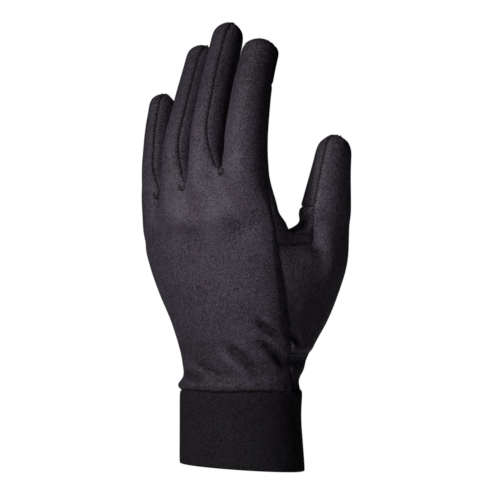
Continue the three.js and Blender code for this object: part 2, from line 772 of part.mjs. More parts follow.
function fingerPiece(j, row, k) {
  if (k < FACE_COLUMNS) {
    return BACK;
  }
  if (k < FACE_COLUMNS + SIDE_COLUMNS) {
    if (j === fingers.length - 1) {
      return k === FACE_COLUMNS ? BACK : PALM;
    }
    return STRIP_NAMES[j];
  }
  const touch = j === 0 && row >= INDEX_PATCH_ROW;
  if (k < 2 * FACE_COLUMNS + SIDE_COLUMNS || j === 0) {
    return touch ? "index_touch_tip" : PALM;
  }
  return STRIP_NAMES[j - 1];
}

fingers.forEach((finger, j) => {
  let low = fingerStart(j);
  const start = low.map((index) => net.points[index].clone());
  const baseRing = fingerRing(finger, bases[j], 0);
  for (let row = 1; row <= FINGER_ROWS; row += 1) {
    const along = TIP_REACH * risingShare(row, FINGER_ROWS, TOP_ROW_CROWDING);
    const leaving = smoothstep(along, 0, FINGER_SETTLE);
    const ring = fingerRing(finger, bases[j], along).map((point, k) => {
      const shift = start[k].clone().sub(baseRing[k]).multiplyScalar(1 - leaving);
      return point.add(shift);
    });
    const high = ring.map(addPoint);
    addBand(low, high, (k) => fingerPiece(j, row - 1, k));
    low = high;
  }
  const tip = fingerMiddle(finger, bases[j], 1);
  const front = j === 0 ? "index_touch_tip" : PALM;
  addCap(low, 0, tip, (r) => (r < SIDE_COLUMNS - 1 ? BACK : front));
});

// Outward directions at the points of the net.
function outwardDirections() {
  const directions = net.points.map(() => new THREE.Vector3());
  net.faces.forEach(({ corners }) => {
    const [a, b, c, d] = corners.map((index) => net.points[index]);
    const normal = c.clone().sub(a).cross(d.clone().sub(b));
    corners.forEach((index) => directions[index].add(normal));
  });
  directions.forEach((direction) => direction.normalize());
  return directions;
}

// Press the dents and folds into the back of the net, and raise its bulges.
function distanceToLine(point, from, to) {
  const way = to.clone().sub(from);
  const share = clamp(point.clone().sub(from).dot(way) / way.lengthSq(), 0, 1);
  return point.distanceTo(from.clone().addScaledVector(way, share));
}

function pressFolds() {
  const outward = outwardDirections();
  const place = (across, rise) => new THREE.Vector2(across * PALM_BREADTH, CUFF_HEIGHT + rise * HAND_LENGTH);
  net.points.forEach((point, index) => {
    const facing = smoothstep(-outward[index].y, -0.6, 0.2);
    const flat = new THREE.Vector2(point.x, point.z);
    let move = 0;
    FOLDS.forEach((fold) => {
      const from = place(fold.across, fold.rise);
      const to = place(fold.toAcross, fold.toRise);
      move += fold.depth * swell(distanceToLine(flat, from, to), fold.width * FOLD_WIDTH);
    });
    point.addScaledVector(outward[index], FOLD_DEPTH * facing * move);
  });
}
pressFolds();

// The solid of one piece: its outer faces, the same faces inside, and a wall all round its edge.
function pieceGeometry(faces, directions) {
  const used = new Map();
  const inset = new Map();
  const edges = new Map();
  faces.forEach(({ corners }) => {
    corners.forEach((index, k) => {
      if (!used.has(index)) {
        used.set(index, used.size);
      }
      const next = corners[(k + 1) % corners.length];
      const reverse = `${next}:${index}`;
      if (edges.has(reverse)) {
        edges.delete(reverse);
      } else {
        edges.set(`${index}:${next}`, [index, next]);
      }
    });
  });
  edges.forEach(([from, to]) => {
    const way = net.points[to].clone().sub(net.points[from]);
    [from, to].forEach((index) => {
      const inward = directions[index].clone().cross(way).normalize();
      inset.set(index, [...(inset.get(index) ?? []), inward]);
    });
  });
  const positions = [];
  const inner = [];
  [...used.keys()].forEach((index) => {
    const point = net.points[index].clone();
    const sides = inset.get(index);
    if (sides) {
      const way = sides.reduce((sum, side) => sum.add(side), new THREE.Vector3());
      const length = Math.max(way.length(), PULL_LIMIT);
      way.normalize();
      point.addScaledVector(way, (0.5 * SEAM_GAP * sides.length) / length);
    }
    positions.push(point);
    inner.push(point.clone().addScaledVector(directions[index], -FABRIC_THICKNESS));
  });
  const count = positions.length;
  const at = (index) => used.get(index);
  const triangles = [];
  faces.forEach(({ corners }) => {
    const [a, b, c, d] = corners.map(at);
    triangles.push([a, b, c], [a, c, d]);
    triangles.push([c + count, b + count, a + count], [d + count, c + count, a + count]);
  });
  edges.forEach(([from, to]) => {
    const a = at(from);
    const b = at(to);
    if (from < to) {
      triangles.push([b, a, a + count], [b, a + count, b + count]);
    } else {
      triangles.push([b, a, b + count], [a, a + count, b + count]);
    }
  });
  return buildGeometry([...positions, ...inner], triangles);
}

function buildGeometry(points, triangles) {
  const geometry = new THREE.BufferGeometry();
  const flat = points.flatMap((point) => [point.x, point.y, point.z]);
  geometry.setAttribute("position", new THREE.Float32BufferAttribute(flat, 3));
  geometry.setIndex(triangles.flat());
  geometry.computeVertexNormals();
  return geometry;
}

// The cuff: a doubled band, folded round at its mouth and turned in under the hand's seam. It bulges a little
// below the seam on the thumb's side.
const BULGE_PLACE = 0.97;
const BULGE_WIDTH = 0.1;
const BULGE_ANGLE = -0.4;

function cuffGeometry() {
  const points = [];
  const rows = CUFF_PROFILE.length;
  for (let k = 0; k < CUFF_COLUMNS; k += 1) {
    const angle = (2 * Math.PI * k) / CUFF_COLUMNS;
    CUFF_PROFILE.forEach(({ out, rise }) => {
      const side = Math.max(Math.cos(angle - BULGE_ANGLE), 0);
      const bulge = HEM_BULGE * side * side * swell(rise - BULGE_PLACE, BULGE_WIDTH);
      const grow = ((out - 1) * CUFF_THICKNESS) / 2 - CUFF_TAPER * rise + bulge;
      const x = (CUFF_BREADTH / 2 + grow) * Math.cos(angle) - CUFF_LEAN * rise;
      const y = -(CUFF_DEPTH / 2 + grow) * Math.sin(angle);
      const skew = ((CUFF_SKEW * x) / CUFF_BREADTH) * (1 - rise);
      const point = new THREE.Vector3(x, y, rise * CUFF_HEIGHT - skew);
      point.z += seamWave(point) * rise * rise * rise;
      points.push(point);
    });
  }
  const triangles = [];
  for (let k = 0; k < CUFF_COLUMNS; k += 1) {
    const here = k * rows;
    const next = ((k + 1) % CUFF_COLUMNS) * rows;
    for (let r = 0; r < rows; r += 1) {
      const up = (r + 1) % rows;
      triangles.push([next + r, here + r, here + up], [next + r, here + up, next + up]);
    }
  }
  return buildGeometry(points, triangles);
}

// Colours of the cloth
const HAND_CLOTH = new THREE.MeshStandardMaterial({ color: 0x2e2a31, roughness: 0.78, metalness: 0 });
const TOUCH_CLOTH = new THREE.MeshStandardMaterial({ color: 0x201d22, roughness: 0.7, metalness: 0 });
const CUFF_CLOTH = new THREE.MeshStandardMaterial({ color: 0x242025, roughness: 0.85, metalness: 0 });

function clothMesh(name, geometry, material) {
  const mesh = new THREE.Mesh(geometry, material);
  mesh.name = name;
  return mesh;
}

const directions = outwardDirections();
const glove = new THREE.Group();
const names = [...new Set(net.faces.map((face) => face.piece))];
names.forEach((name) => {
  const faces = net.faces.filter((face) => face.piece === name);
  const cloth = name.includes("touch") ? TOUCH_CLOTH : HAND_CLOTH;
  glove.add(clothMesh(name, pieceGeometry(faces, directions), cloth));
});
glove.add(clothMesh("cuff", cuffGeometry(), CUFF_CLOTH));

export default glove;
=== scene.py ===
import math
import random

import bpy
import numpy as np
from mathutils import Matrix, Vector
from mathutils.bvhtree import BVHTree
from mathutils.kdtree import KDTree


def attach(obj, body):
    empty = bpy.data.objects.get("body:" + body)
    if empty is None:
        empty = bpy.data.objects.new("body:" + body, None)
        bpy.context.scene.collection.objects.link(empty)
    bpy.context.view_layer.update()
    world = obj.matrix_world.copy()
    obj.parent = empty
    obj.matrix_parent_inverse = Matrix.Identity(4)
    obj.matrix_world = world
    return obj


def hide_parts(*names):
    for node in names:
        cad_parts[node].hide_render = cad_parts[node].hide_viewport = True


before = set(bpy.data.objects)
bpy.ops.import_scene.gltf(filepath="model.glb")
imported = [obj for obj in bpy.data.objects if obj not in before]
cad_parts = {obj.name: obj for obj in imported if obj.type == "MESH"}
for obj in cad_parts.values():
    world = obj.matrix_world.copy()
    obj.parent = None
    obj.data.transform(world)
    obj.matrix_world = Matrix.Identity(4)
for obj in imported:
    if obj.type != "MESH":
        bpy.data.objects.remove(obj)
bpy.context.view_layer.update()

MM = 0.001

# Cloth: its thickness here and in the frame, how far apart the points of a seam may lie, and the hem
# that turns down into a seam, as shares of its width and depth at each step
CLOTH = 1.1 * MM
CAD_CLOTH = 1.2 * MM
CLOTH_LEEWAY = 0.03 * MM
SAME_POINT = 0.01 * MM
SEAM_JOIN = 1.1 * MM
HEM_BACK = 0.5 * MM
HEM_GAP = 0.12 * MM
HEM_DEPTH = 0.95 * MM
HEM_STEPS = ((0.62, 0.12), (0.97, 0.45), (1.0, 1.0))

# The wrist and the cuff: the seam's height, and half sizes across and through for angles round them
WRIST = 42 * MM
WRIST_HALF = (36, 24)
CUFF_HALF = (37, 25)
CUFF_RADIUS = 31.5 * MM

# The view of the photograph: its turn, the size of one pixel and the pixel of the mouth's middle
TURN = 32
PIXEL = 0.545 * MM
MOUTH_PIXEL = (242, 467)

HAND_PIECES = [
    ("back_panel", "hand_knit"),
    ("palm_panel", "hand_knit"),
    ("thumb_back", "hand_knit"),
    ("thumb_front", "hand_knit"),
    ("fourchette_index_middle", "hand_knit"),
    ("fourchette_middle_ring", "hand_knit"),
    ("fourchette_ring_little", "hand_knit"),
    ("thumb_touch_tip", "touch_knit"),
    ("index_touch_tip", "touch_knit"),
]


# Small tools

def pick(*objects):
    """Selects these objects and nothing else."""
    bpy.ops.object.select_all(action="DESELECT")
    for one in objects:
        one.select_set(True)
    bpy.context.view_layer.objects.active = objects[0]


def points_of(mesh):
    """The places of a mesh's points, one in each row."""
    flat = np.zeros(len(mesh.vertices) * 3, np.float64)
    mesh.vertices.foreach_get("co", flat)
    return flat.reshape(-1, 3)


def normals_of(mesh):
    """The normals at a mesh's points, one in each row."""
    flat = np.zeros(len(mesh.vertices) * 3, np.float64)
    mesh.vertices.foreach_get("normal", flat)
    return flat.reshape(-1, 3)


def set_points(mesh, points):
    """Moves a mesh's points to these places."""
    mesh.vertices.foreach_set("co", np.asarray(points, np.float32).ravel())
    mesh.update()


def apply_modifiers(obj):
    """Applies an object's modifiers in their order."""
    pick(obj)
    for modifier in list(obj.modifiers):
        bpy.ops.object.modifier_apply(modifier=modifier.name)


def smoothstep(low, high, value):
    """A soft step from 0 at low to 1 at high."""
    share = np.clip((value - low) / (high - low), 0, 1)
    return share * share * (3 - 2 * share)


def angle_round(points, half):
    """The angle of each point round an oval of these half sizes."""
    return np.arctan2(points[..., 1] / half[1], points[..., 0] / half[0])


def quads_of(node, name):
    """A copy of a node of the frame, with its triangles joined into four-cornered faces."""
    obj = bpy.data.objects.new(name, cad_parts[node].data.copy())
    bpy.context.scene.collection.objects.link(obj)
    obj.data.materials.clear()
    pick(obj)
    bpy.ops.object.mode_set(mode="EDIT")
    bpy.ops.mesh.select_mode(type="FACE")
    bpy.ops.mesh.select_all(action="SELECT")
    bpy.ops.mesh.remove_doubles(threshold=SAME_POINT)
    bpy.ops.mesh.tris_convert_to_quads(face_threshold=math.radians(75), shape_threshold=math.radians(80))
    bpy.ops.mesh.select_all(action="DESELECT")
    bpy.ops.object.mode_set(mode="OBJECT")
    return obj


def open_edges(mesh):
    """Each edge that only one face has, with that face."""
    faces = {}
    for face in mesh.polygons:
        for key in face.edge_keys:
            faces.setdefault(key, []).append(face.index)
    return {key: found[0] for key, found in faces.items() if len(found) == 1}


def border_points(mesh):
    """The points on an open edge."""
    return sorted({p for key in open_edges(mesh) for p in key})


# The skin: one net of four-cornered faces over all the cut pieces

def outer_face(number, name):
    """The outer face of one cut piece, as four-cornered faces with its number as material.

    A wall face has two edges as long as the cloth is thick. Without the walls, two sheets are left,
    and the outer one is the larger.
    """
    obj = quads_of(name, "skin_" + name)
    mesh = obj.data
    for piece, _ in HAND_PIECES:
        mesh.materials.append(piece_marks[piece])
    points = points_of(mesh)
    edges = {}
    walls = set()
    for face in mesh.polygons:
        ends = list(face.vertices)
        cloth_edges = 0
        for a, b in zip(ends, ends[1:] + ends[:1]):
            edges.setdefault((min(a, b), max(a, b)), []).append(face.index)
            cloth_edges += abs(np.linalg.norm(points[a] - points[b]) - CAD_CLOTH) < CLOTH_LEEWAY
        if cloth_edges >= 2:
            walls.add(face.index)
    near = {}
    for pair in edges.values():
        for face in pair:
            near.setdefault(face, set()).update(pair)
    left = set(range(len(mesh.polygons))) - walls
    sheets = []
    while left:
        stack = [left.pop()]
        sheet = set(stack)
        while stack:
            for other in near[stack.pop()] & left:
                left.discard(other)
                sheet.add(other)
                stack.append(other)
        sheets.append(sheet)
    outside = max(sheets, key=lambda faces: sum(mesh.polygons[f].area for f in faces))
    for face in mesh.polygons:
        face.select = face.index not in outside
        face.material_index = number
    bpy.ops.object.mode_set(mode="EDIT")
    bpy.ops.mesh.delete(type="FACE")
    bpy.ops.object.mode_set(mode="OBJECT")
    return obj


def sew(obj):
    """Brings the pieces' edges together on the middle of each seam and merges them.

    Points of different pieces are grouped by distance, the nearest first, with no two of one piece.
    """
    mesh = obj.data
    points = points_of(mesh)
    border = border_points(mesh)
    piece_of = {p: face.material_index for face in mesh.polygons for p in face.vertices}
    tree = KDTree(len(border))
    for i, p in enumerate(border):
        tree.insert(points[p], i)
    tree.balance()
    pairs = []
    for p in border:
        for _, i, gap in tree.find_range(points[p], SEAM_JOIN):
            if p < border[i] and piece_of[p] != piece_of[border[i]]:
                pairs.append((gap, p, border[i]))
    group = {p: [p] for p in border}
    for _, p, q in sorted(pairs):
        pieces = {piece_of[r] for r in group[p]}
        if group[p] is not group[q] and not any(piece_of[r] in pieces for r in group[q]):
            joined = group[p] + group[q]
            for r in joined:
                group[r] = joined
    met = points.copy()
    for p in border:
        met[p] = points[group[p]].mean(axis=0)
    set_points(mesh, met)
    pick(obj)
    bpy.ops.object.mode_set(mode="EDIT")
    bpy.ops.mesh.select_mode(type="VERT")
    bpy.ops.mesh.select_all(action="SELECT")
    bpy.ops.mesh.remove_doubles(threshold=2 * SAME_POINT)
    bpy.ops.mesh.normals_make_consistent(inside=False)
    bpy.ops.mesh.select_all(action="DESELECT")
    bpy.ops.object.mode_set(mode="OBJECT")


def smooth_through(obj, levels, passes):
    """Subdivides the net after moving its points so that the smooth cloth passes where they were."""
    mesh = obj.data
    aim = points_of(mesh)
    smooth = obj.modifiers.new("smooth", "SUBSURF")
    smooth.levels = levels
    smooth.render_levels = levels
    for _ in range(passes):
        seen = obj.evaluated_get(bpy.context.evaluated_depsgraph_get())
        reached = points_of(seen.data)[: len(aim)]
        set_points(mesh, points_of(mesh) + 0.9 * (aim - reached))
    apply_modifiers(obj)


piece_marks = {}
for piece, _ in HAND_PIECES:
    piece_marks[piece] = bpy.data.materials.new("mark_" + piece)

skins = [outer_face(number, name) for number, (name, _) in enumerate(HAND_PIECES)]
pick(*skins)
bpy.ops.object.join()
skin = skins[0]
skin.name = "glove_skin"
sew(skin)
smooth_through(skin, levels=2, passes=2)


# Folds and dents, placed by what the photograph shows

points = points_of(skin.data)
normals = normals_of(skin.data)
tree = BVHTree.FromPolygons([Vector(p) for p in points], [f.vertices for f in skin.data.polygons])


def sight(turn):
    """The way across and the way into the view at a turn."""
    a = math.radians(turn)
    return Vector((math.cos(a), math.sin(a), 0)), Vector((-math.sin(a), math.cos(a), 0))


def on_cloth(column, row):
    """The place on the cloth at a pixel of the photograph's scale and view."""
    across, into = sight(TURN)
    start = across * (column - MOUTH_PIXEL[0]) * PIXEL
    start += Vector((0, 0, (MOUTH_PIXEL[1] - row) * PIXEL)) - into
    place = tree.ray_cast(start, into)[0]
    if place is None:
        place = tree.find_nearest(start + into)[0]
    return np.array(place)


def distance_to_line(line):
    """Each point's distance to a line on the cloth, and its share along it."""
    best = np.full(len(points), 1e9)
    share = np.zeros(len(points))
    total = max(len(line) - 1, 1)
    for i in range(len(line) - 1):
        a, b = line[i], line[i + 1]
        along = np.clip((points - a) @ (b - a) / max((b - a) @ (b - a), 1e-12), 0, 1)
        gap = np.linalg.norm(points - a - along[:, None] * (b - a), axis=1)
        closer = gap < best
        best[closer] = gap[closer]
        share[closer] = (i + along[closer]) / total
    return best, share


move = np.zeros(len(points))

# Soft dents and bulges: column, row, then breadth, height and depth in millimetres
DENTS = [
    (193, 238, 6, 8, -0.8),
    (239, 232, 6, 7, -0.7),
    (216, 222, 7, 9, 0.4),
    (165, 232, 5, 7, -0.4),
    (303, 225, 2.8, 5, -1.6),
    (301, 213, 3, 4, 0.4),
    (205, 352, 12, 7, -0.4),
    (299, 347, 7, 3.4, 1.5),
    (299, 359, 7, 3.0, -1.2),
    (301, 370, 7, 4, 0.9),
]
DENT_REACH_IN = 2.2
across, into = sight(TURN)
for column, row, breadth, height, depth in DENTS:
    offset = points - on_cloth(column, row)
    flat = offset @ np.array(across)
    deep = offset @ np.array(into)
    reach = (flat / (breadth * MM)) ** 2 + (offset[:, 2] / (height * MM)) ** 2
    reach += (deep / (DENT_REACH_IN * breadth * MM)) ** 2
    move += depth * MM * np.exp(-reach)

# Folds: the line over the cloth in pixels, then half breadth and depth in millimetres
FOLDS = [
    ([(258, 322), (268, 329), (281, 338)], 2.0, -0.8),
    ([(262, 341), (274, 352), (286, 366)], 2.2, -0.8),
    ([(226, 345), (240, 356), (260, 373)], 2.6, -0.7),
    ([(222, 352), (238, 365), (254, 379)], 3.0, 0.4),
    ([(196, 362), (208, 370), (226, 378)], 2.4, -0.4),
    ([(290, 333), (296, 340), (300, 346)], 1.8, -0.8),
    ([(308, 246), (316, 252), (326, 260)], 2.4, -0.5),
    ([(157, 197), (157.5, 202), (158, 209)], 1.5, -0.5),
    ([(184, 372), (192, 376), (204, 380)], 2.2, -0.5),
]
FOLD_STRENGTH = 2.6
# The rim that stands up on both sides of a fold: its place and width as shares of the half breadth
RIM_AWAY = 2.1
RIM_WIDTH = 1.2
RIM_HEIGHT = 0.3
# The share of a fold's depth that is left at its ends
END_DEPTH = 0.25
for line, breadth, depth in FOLDS:
    gap, share = distance_to_line([on_cloth(column, row) for column, row in line])
    ends = smoothstep(0, 0.25, share) * (1 - smoothstep(0.75, 1, share))
    core = np.exp(-((gap / (breadth * MM)) ** 2))
    rim = np.exp(-(((gap - RIM_AWAY * breadth * MM) / (RIM_WIDTH * breadth * MM)) ** 2))
    profile = (core - RIM_HEIGHT * rim) * (END_DEPTH + (1 - END_DEPTH) * ends)
    move += FOLD_STRENGTH * depth * MM * profile

# Gathers where the hand is sewn to the cuff, coarse ones and finer ones between them
GATHER_DEPTH = 0.22 * MM
GATHER_HEIGHT = 9 * MM
COARSE_GATHERS = 23
FINE_GATHERS = 37
turned = angle_round(points, WRIST_HALF)
gather = np.sin(COARSE_GATHERS * turned + 1.1 * np.sin(3 * turned))
gather += 0.6 * np.sin(FINE_GATHERS * turned + 2.0)
above = np.clip((points[:, 2] - WRIST) / GATHER_HEIGHT, 0, 1)
move += GATHER_DEPTH * gather * (1 - above) ** 2 * (points[:, 2] < WRIST + GATHER_HEIGHT)

points = points + normals * move[:, None]
set_points(skin.data, points)


# Seams: where two cut pieces meet

def seam_chains(mesh):
    """The lines of points where the same two pieces meet."""
    sides = {}
    for face in mesh.polygons:
        for key in face.edge_keys:
            sides.setdefault(key, []).append(face.material_index)
    ways = {}
    for key, pair in sides.items():
        if len(pair) == 2 and pair[0] != pair[1]:
            names = tuple(sorted(pair))
            for a, b in (key, key[::-1]):
                ways.setdefault(a, []).append((b, names))
    used = set()
    chains = []
    starts = [p for p in ways if len(ways[p]) != 2 or ways[p][0][1] != ways[p][1][1]]
    for start in starts + list(ways):
        for following, names in ways[start]:
            if (start, following) in used:
                continue
            chain = [start, following]
            used.update({(start, following), (following, start)})
            while len(ways[chain[-1]]) == 2:
                steps = [s for s in ways[chain[-1]] if s[0] != chain[-2] and s[1] == names]
                if not steps or (chain[-1], steps[0][0]) in used:
                    break
                used.update({(chain[-1], steps[0][0]), (steps[0][0], chain[-1])})
                chain.append(steps[0][0])
            chains.append(chain)
    return chains


SEAM_EASING = 4
chains = seam_chains(skin.data)
for chain in chains:
    for _ in range(SEAM_EASING):
        inner = points[chain[1:-1]]
        points[chain[1:-1]] = 0.5 * inner + 0.25 * (points[chain[:-2]] + points[chain[2:]])
set_points(skin.data, points)
normals = normals_of(skin.data)
seam_ids = sorted({p for chain in chains for p in chain})
seam_tree = KDTree(len(seam_ids))
for i, p in enumerate(seam_ids):
    seam_tree.insert(points[p], i)
seam_tree.balance()
to_seam = np.array([seam_tree.find(p)[2] for p in points])

# The cloth draws in beside a seam, with small puckers along it. The puckers are waves over the height
# and over the breadth, in turns of an angle for each millimetre.
DRAW_IN = 0.45
DRAW_IN_WIDTH = 1.3 * MM
PUCKER = 0.16
PUCKER_UP = 2.1 / MM
PUCKER_ACROSS = 0.9 / MM
pucker = np.array([math.sin(PUCKER_UP * p[2] + PUCKER_ACROSS * p[0]) for p in points])
near = np.exp(-((to_seam / DRAW_IN_WIDTH) ** 2))
points = points - normals * (near * (DRAW_IN + PUCKER * pucker) * MM)[:, None]
set_points(skin.data, points)

# Kept for the thread: the seams with the cloth's normals, the skin's faces and the line round the wrist
SEAMS = [(points[chain].copy(), normals[chain].copy()) for chain in chains if len(chain) > 2]
SKIN_FACES = [list(face.vertices) for face in skin.data.polygons]
edge = sorted(border_points(skin.data), key=lambda p: angle_round(points[p], WRIST_HALF))
edge = np.array(edge + edge[:1])
edge_out = normals[edge] * np.array([1, 1, 0])
edge_out = edge_out / np.linalg.norm(edge_out, axis=1)[:, None]
WRIST_LINE = points[edge].copy()

# Kept for the materials: the depth of the folds in millimetres and the nearness to a seam, which paint shade
# into the cloth's colour along the seams and in the dents, and a painted highlight on the bulges
FOLD_LIMIT = 1.4
SEAM_SHADE_WIDTH = 0.9 * MM
hollow = skin.data.attributes.new("fold_depth", "FLOAT", "POINT")
hollow.data.foreach_set("value", np.clip(move / MM, -FOLD_LIMIT, FOLD_LIMIT).astype(np.float32))
shade = skin.data.attributes.new("seam_near", "FLOAT", "POINT")
shade.data.foreach_set("value", np.exp(-((to_seam / SEAM_SHADE_WIDTH) ** 2)).astype(np.float32))


# Separate pieces with turned-in edges and a wall of cloth

def place_key(place):
    """A place rounded to a ten-thousandth of a millimetre, to find it again."""
    return tuple(round(c * 1e7) for c in place)


def turn_edges_in(obj):
    """Rounds each open edge of a piece down into its seam."""
    mesh = obj.data
    points = points_of(mesh)
    normals = normals_of(mesh)
    around = open_edges(mesh)
    border = sorted({p for key in around for p in key})
    inwards = {p: Vector() for p in border}
    for key, face in around.items():
        middle = (points[key[0]] + points[key[1]]) / 2
        way = (Vector(mesh.polygons[face].center) - Vector(middle)).normalized()
        for p in key:
            inwards[p] += way
    for p in border:
        normal = Vector(normals[p])
        way = inwards[p] - normal * inwards[p].dot(normal)
        inwards[p] = way.normalized() if way.length > 1e-6 else Vector()
    place = {p: Vector(points[p]) for p in border}
    for p in border:
        mesh.vertices[p].co = place[p] + inwards[p] * (HEM_BACK + HEM_GAP)
    kept = {place_key(mesh.vertices[p].co): p for p in border}
    pick(obj)
    bpy.ops.object.mode_set(mode="EDIT")
    bpy.ops.mesh.select_mode(type="EDGE")
    bpy.ops.mesh.select_all(action="DESELECT")
    bpy.ops.object.mode_set(mode="OBJECT")
    for share, deep in HEM_STEPS:
        around = {tuple(sorted(key)) for key in open_edges(mesh)}
        for edge in mesh.edges:
            edge.select = tuple(sorted(edge.vertices)) in around
        bpy.ops.object.mode_set(mode="EDIT")
        bpy.ops.mesh.extrude_edges_move()
        bpy.ops.object.mode_set(mode="OBJECT")
        fresh = [v.index for v in mesh.vertices if v.select]
        source = {v: kept[place_key(mesh.vertices[v].co)] for v in fresh}
        back = HEM_GAP + HEM_BACK * (1 - share)
        kept = {}
        for v, p in source.items():
            mesh.vertices[v].co = place[p] + inwards[p] * back - Vector(normals[p]) * HEM_DEPTH * deep
            kept[place_key(mesh.vertices[v].co)] = p
    mesh.update()


def lay_flat(obj):
    """Unwraps a piece to its flat pattern in metres, with the knit's columns upright."""
    pick(obj)
    mesh = obj.data
    if not mesh.uv_layers:
        mesh.uv_layers.new(name="cloth")
    bpy.ops.object.mode_set(mode="EDIT")
    bpy.ops.mesh.select_all(action="SELECT")
    bpy.ops.uv.unwrap(method="ANGLE_BASED", margin=0)
    bpy.ops.object.mode_set(mode="OBJECT")
    layer = mesh.uv_layers.active.data
    flat = np.zeros(len(layer) * 2)
    layer.foreach_get("uv", flat)
    flat = flat.reshape(-1, 2)
    corner = np.zeros(len(mesh.loops), np.int32)
    mesh.loops.foreach_get("vertex_index", corner)
    height = points_of(mesh)[corner, 2]
    area = 0
    for face in mesh.polygons:
        ring = flat[list(face.loop_indices)]
        area += abs(np.sum(ring[:, 0] * np.roll(ring[:, 1], -1) - ring[:, 1] * np.roll(ring[:, 0], -1))) / 2
    scale = math.sqrt(sum(face.area for face in mesh.polygons) / max(area, 1e-12))
    flat = (flat - flat.mean(axis=0)) * scale
    up = np.linalg.lstsq(flat, height - height.mean(), rcond=None)[0]
    up = up / max(np.linalg.norm(up), 1e-9)
    turned = np.stack([flat @ np.array([up[1], -up[0]]), flat @ up], axis=1)
    layer.foreach_set("uv", turned.ravel())


pick(skin)
bpy.ops.object.mode_set(mode="EDIT")
bpy.ops.mesh.select_all(action="SELECT")
bpy.ops.mesh.separate(type="MATERIAL")
bpy.ops.object.mode_set(mode="OBJECT")
cut = {}
for obj in list(bpy.context.selected_objects):
    mark = obj.data.materials[obj.data.polygons[0].material_index].name
    cut[mark.removeprefix("mark_")] = obj

for name, obj in cut.items():
    obj.name = name + "_cloth"
    obj.data.name = name + "_cloth"
    turn_edges_in(obj)
    lay_flat(obj)
    wall = obj.modifiers.new("wall", "SOLIDIFY")
    wall.thickness = CLOTH
    wall.offset = -1
    wall.use_even_offset = False
    apply_modifiers(obj)
    for face in obj.data.polygons:
        face.use_smooth = True


# Materials

def new_group(name, inputs, outputs):
    """An empty group of shader nodes with named inputs and outputs."""
    group = bpy.data.node_groups.new(name, "ShaderNodeTree")
    for label, kind, value in inputs:
        socket = group.interface.new_socket(label, in_out="INPUT", socket_type=kind)
        if value is not None:
            socket.default_value = value
    for label, kind in outputs:
        group.interface.new_socket(label, in_out="OUTPUT", socket_type=kind)
    return group


class Graph:
    """Places nodes in a tree and joins them by socket."""

    def __init__(self, tree):
        self.tree = tree
        self.column = 0

    def node(self, kind, links=None, **settings):
        node = self.tree.nodes.new(kind)
        self.column += 1
        node.location = (180 * (self.column % 12), -220 * (self.column // 12))
        for key, value in settings.items():
            setattr(node, key, value)
        for key, value in (links or {}).items():
            socket = node.inputs[key]
            if isinstance(value, bpy.types.NodeSocket):
                self.tree.links.new(value, socket)
            else:
                socket.default_value = value
        return node

    def math(self, kind, a, b=0.0, c=0.0):
        return self.node("ShaderNodeMath", {0: a, 1: b, 2: c}, operation=kind).outputs[0]


# The speckles: the range of the noise that they spread over, and the share of each loop's own shade
SPECK_LOW = 0.38
SPECK_HIGH = 0.62
LOOP_SHARE = 0.75
PATCHES_PER_METRE = 70.0


def knit_group():
    """Fine plain knit: columns of stitches, loop rows and a speckled yarn."""
    group = new_group(
        "plain_knit",
        [
            ("Column", "NodeSocketFloat", 0.55 * MM),
            ("Row", "NodeSocketFloat", 0.45 * MM),
            ("Speckle size", "NodeSocketFloat", 0.55 * MM),
        ],
        [
            ("Height", "NodeSocketFloat"),
            ("Speckle", "NodeSocketFloat"),
            ("Cloud", "NodeSocketFloat"),
        ],
    )
    g = Graph(group)
    given = g.node("NodeGroupInput").outputs
    uv = g.node("ShaderNodeUVMap", uv_map="cloth").outputs["UV"]
    place = g.node("ShaderNodeTexCoord").outputs["Object"]
    parts = g.node("ShaderNodeSeparateXYZ", {0: uv}).outputs
    column = g.math("DIVIDE", parts[0], given["Column"])
    row = g.math("DIVIDE", parts[1], given["Row"])
    saw = g.math("ABSOLUTE", g.math("SUBTRACT", g.math("MULTIPLY", g.math("FRACT", column), 2.0), 1.0))
    arch = g.math("SINE", g.math("MULTIPLY", saw, math.pi))
    lean = g.math("ADD", row, g.math("MULTIPLY", saw, 0.5))
    loop = g.math("SINE", g.math("MULTIPLY", lean, 2 * math.pi))
    loop = g.math("MULTIPLY_ADD", loop, 0.5, 0.5)
    height = g.math("MULTIPLY", g.math("MULTIPLY_ADD", loop, 0.5, 0.5), arch)
    cell = g.node("ShaderNodeCombineXYZ", {0: g.math("FLOOR", column), 1: g.math("FLOOR", lean)}).outputs[0]
    yarn = g.node("ShaderNodeTexWhiteNoise", {"Vector": cell}, noise_dimensions="2D").outputs["Value"]
    size = g.math("DIVIDE", 1.0, given["Speckle size"])
    speck = g.node("ShaderNodeTexNoise", {"Vector": place, "Scale": size, "Detail": 1.0, "Roughness": 0.5})
    mottle = g.node("ShaderNodeMapRange", {0: speck.outputs["Fac"], 1: SPECK_LOW, 2: SPECK_HIGH}).outputs[0]
    mottle = g.math("MULTIPLY_ADD", g.math("SUBTRACT", yarn, mottle), LOOP_SHARE, mottle)
    cloud = g.node(
        "ShaderNodeTexNoise",
        {"Vector": place, "Scale": PATCHES_PER_METRE, "Detail": 3.0, "Roughness": 0.55},
    )
    g.node(
        "NodeGroupOutput",
        {"Height": height, "Speckle": mottle, "Cloud": cloud.outputs["Fac"]},
    )
    return group


PLAIN_KNIT = knit_group()


# How far each effect lifts or lowers the cloth's tone, which runs from its dark to its light colour. The
# seam, fold and loop effects paint shade and highlights into the colour.
MID_TONE = 0.42
PATCH_TONE = 0.35
SEAM_PAINTED_SHADE = -0.12
FOLD_PAINTED_SHADE_AND_HIGHLIGHT = 0.2
LOOP_PAINTED_SHADE = 0.18
LOOP_MIDDLE = 0.4
# The warmer and the cooler cast of the patches, as shares of the light colour
WARM_CAST = (1.05, 0.97, 1.02)
COOL_CAST = (0.96, 1.0, 1.02)


def new_material(name):
    """An empty material, with the graph that fills it."""
    material = bpy.data.materials.new(name)
    material.use_nodes = True
    material.node_tree.nodes.clear()
    return material, Graph(material.node_tree)


